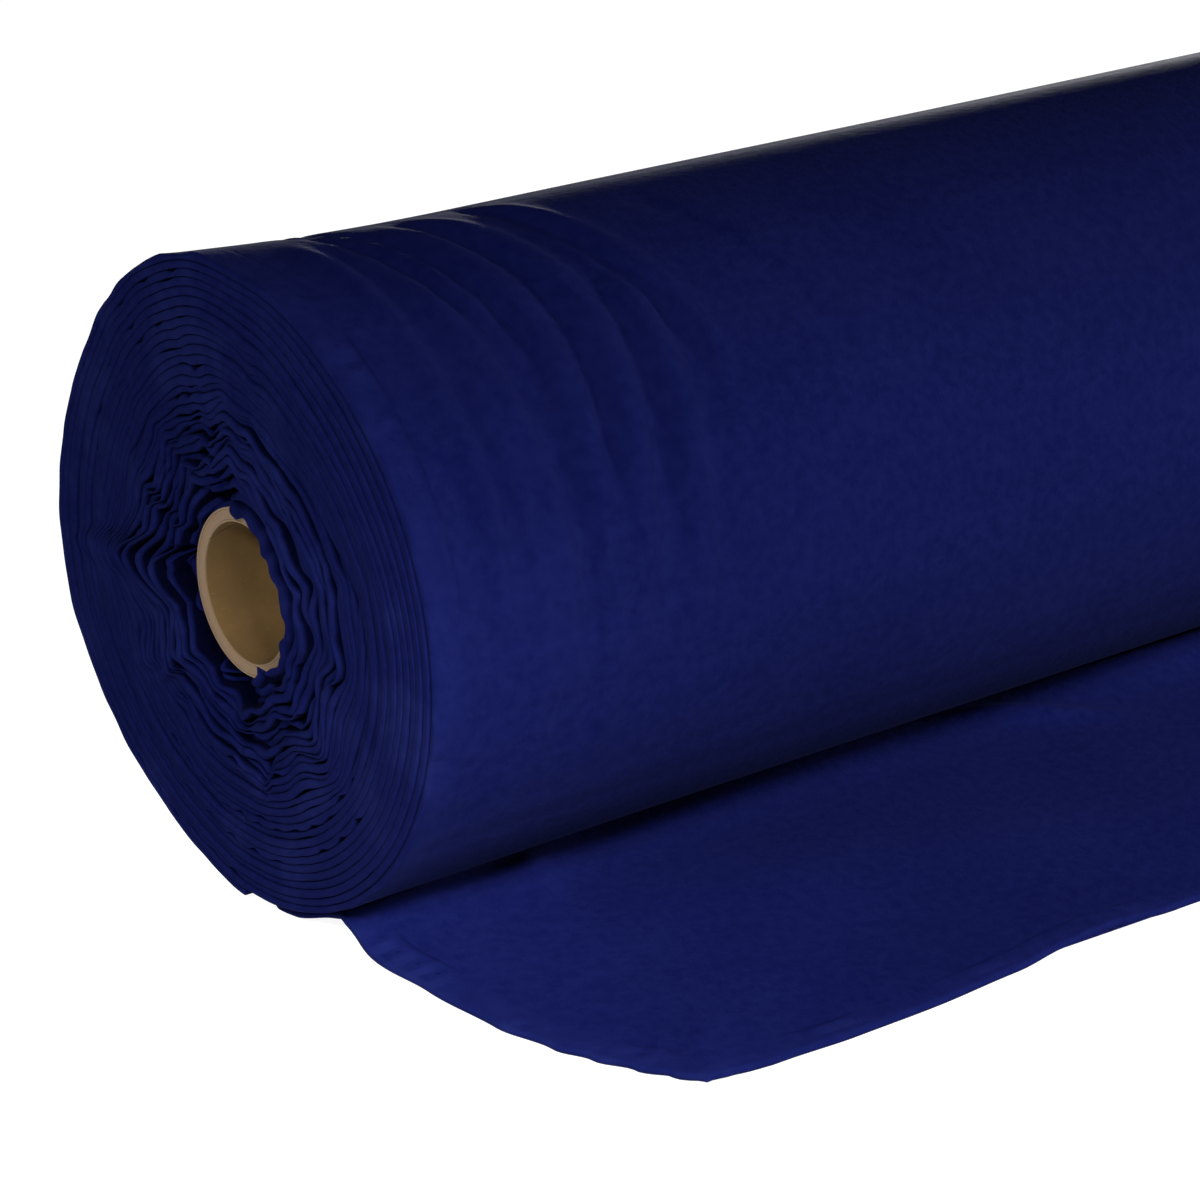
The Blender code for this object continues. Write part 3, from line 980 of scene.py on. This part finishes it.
class BoltWinding(bpy.types.Operator):
    """Wind the inner turns of cloth on the tube"""

    bl_idname = "fabric_bolt.winding"
    bl_label = "Wound cloth"

    def execute(self, context):
        sizes = context.scene.bolt_sizes
        winding = Winding()
        inside = in_mm(1.2, 2.3, 3.6, 12.0, 60.0)
        slack, last_start = float(sizes.slack_turns), sizes.turns - 1.0
        halfway = slack + (last_start - slack) // 2 + 1
        spans = (
            ("slack_turns_cloth", 0.0, slack, 1.25 * MM, "loose_turns"),
            ("tight_turns_inner", slack, halfway, 1.6 * MM, "tight_turns"),
            ("tight_turns_outer", halfway, last_start, 1.6 * MM, "tight_turns"),
        )
        for name, first, last, spacing, node in spans:
            mesh, length = wound_strip(winding, name, first, last, spacing, inside)
            piece = new_piece(name, mesh, fleece())
            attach(piece, "roll")
            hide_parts(node)
        return {"FINISHED"}


class BoltLastTurn(bpy.types.Operator):
    """Make the outermost turn, with its folds and selvedge"""

    bl_idname = "fabric_bolt.last_turn"
    bl_label = "Last turn"

    def execute(self, context):
        mesh, length = last_turn_mesh(Winding())
        piece = new_piece("last_turn_cloth", mesh, fleece())
        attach(piece, "roll")
        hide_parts("last_turn")
        return {"FINISHED"}


class BoltLaidEnd(bpy.types.Operator):
    """Lay the free end of the cloth out in front of the roll"""

    bl_idname = "fabric_bolt.laid_end"
    bl_label = "Laid end"

    def execute(self, context):
        # The laid end's top is the cloth's inner face, and its fleece is 1.25 times paler: partly a
        # paler inner face, partly painted light that makes the laid end as bright as the roll's front.
        inner_face_painted_light = fleece_material("fleece_inner_face", 1.25)
        piece = new_piece("laid_end_cloth", laid_end_mesh(), inner_face_painted_light)
        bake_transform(piece)
        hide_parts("laid_cloth", "free_end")
        return {"FINISHED"}


# Name, place, what it points at, size in metres, power in watts, spread in degrees. The side
# light is low and strong, so that the folds show; the two narrow ones only lift dark corners.
LIGHTS = (
    ("side_light", (1.45, -1.25, 0.30), (-0.4, 0, 0.09), (0.50, 0.26), 82.0, 180),
    ("end_light", (-1.58, -0.76, 0.84), (-0.75, 0, 0.12), (0.14, 0.14), 18.0, 180),
    ("laid_light", (-0.50, -0.72, 0.60), (-0.45, -0.15, 0.0), (1.4, 0.15), 2.3, 46),
    ("back_light", (1.20, 1.40, 0.12), (0.1, 0.1, 0.09), (0.5, 0.16), 75.0, 180),
    ("corner_light", (-0.93, -0.50, 0.42), (-0.715, -0.062, 0.0), (0.06, 0.06), 0.10, 24),
)
CAMERA_LENS = 117.3
CAMERA_TARGET = (-0.6085, 0.0, 0.068)
CAMERA_BACK = (-0.5759, -0.7308, 0.3662)
CAMERA_DISTANCE = 1.286


def area_light(name, place, target, size, power, spread):
    light = bpy.data.lights.new(name, "AREA")
    light.shape = "RECTANGLE"
    light.size, light.size_y = size
    light.energy = power
    light.spread = math.radians(spread)
    obj = bpy.data.objects.new(name, light)
    obj.location = place
    obj.visible_camera = False
    obj.rotation_mode = "QUATERNION"
    obj.rotation_quaternion = (Vector(target) - Vector(place)).to_track_quat("-Z", "Y")
    bpy.context.scene.collection.objects.link(obj)
    return obj


class BoltStage(bpy.types.Operator):
    """Make the studio: a pale floor, soft lights and the camera"""

    bl_idname = "fabric_bolt.stage"
    bl_label = "Studio"

    def execute(self, context):
        scene = context.scene
        colours = scene.bolt_colours
        bm = bmesh.new()
        bmesh.ops.create_grid(bm, x_segments=1, y_segments=1, size=30.0)
        bmesh.ops.translate(bm, verts=bm.verts, vec=(0, 0, -0.2 * MM))
        mesh = bpy.data.meshes.new("studio_floor")
        bm.to_mesh(mesh)
        bm.free()
        floor = bpy.data.objects.new("studio_floor", mesh)
        scene.collection.objects.link(floor)
        finish = Finish("pale_floor")
        finish.shader["Base Color"].default_value = rgba(colours.floor)
        finish.shader["Roughness"].default_value = 0.9
        finish.shader["Specular IOR Level"].default_value = 0.0
        finish.shader["Emission Color"].default_value = (1, 1, 1, 1)
        finish.shader["Emission Strength"].default_value = 0.92
        mesh.materials.append(finish.material)

        world = bpy.data.worlds.new("studio_world")
        world.use_nodes = True
        background = world.node_tree.nodes["Background"].inputs
        background["Color"].default_value = (1, 1, 1, 1)
        background["Strength"].default_value = 0.18
        scene.world = world
        scene.view_settings.view_transform = "Standard"

        for light in LIGHTS:
            area_light(*light)

        camera_data = bpy.data.cameras.new("camera")
        camera_data.lens = CAMERA_LENS
        camera_data.sensor_width = 36.0
        camera_data.clip_start, camera_data.clip_end = 0.05, 60.0
        camera = bpy.data.objects.new("camera", camera_data)
        back = Vector(CAMERA_BACK).normalized()
        camera.location = Vector(CAMERA_TARGET) + back * CAMERA_DISTANCE
        camera.rotation_mode = "QUATERNION"
        camera.rotation_quaternion = (-back).to_track_quat("-Z", "Y")
        scene.collection.objects.link(camera)
        scene.camera = camera
        return {"FINISHED"}


class BoltPanel(bpy.types.Panel):
    """Lists the bolt's sizes, colours and pieces"""

    bl_idname = "VIEW3D_PT_fabric_bolt"
    bl_label = "Fabric bolt"
    bl_space_type = "VIEW_3D"
    bl_region_type = "UI"
    bl_category = "Fabric bolt"

    def draw(self, context):
        for group in (context.scene.bolt_sizes, context.scene.bolt_colours):
            box = self.layout.box()
            for name in group.__annotations__:
                box.prop(group, name)
        for operator in OPERATORS:
            self.layout.operator(operator.bl_idname)


OPERATORS = (BoltStage, BoltCore, BoltWinding, BoltLastTurn, BoltLaidEnd)
CLASSES = (BoltSizes, BoltColours, *OPERATORS, BoltPanel)


def register():
    for cls in CLASSES:
        bpy.utils.register_class(cls)
    bpy.types.Scene.bolt_sizes = bpy.props.PointerProperty(type=BoltSizes)
    bpy.types.Scene.bolt_colours = bpy.props.PointerProperty(type=BoltColours)


def unregister():
    del bpy.types.Scene.bolt_colours
    del bpy.types.Scene.bolt_sizes
    for cls in reversed(CLASSES):
        bpy.utils.unregister_class(cls)


def main():
    register()
    bpy.ops.fabric_bolt.stage()
    bpy.ops.fabric_bolt.core()
    bpy.ops.fabric_bolt.winding()
    bpy.ops.fabric_bolt.last_turn()
    bpy.ops.fabric_bolt.laid_end()


if __name__ == "__main__":
    main()
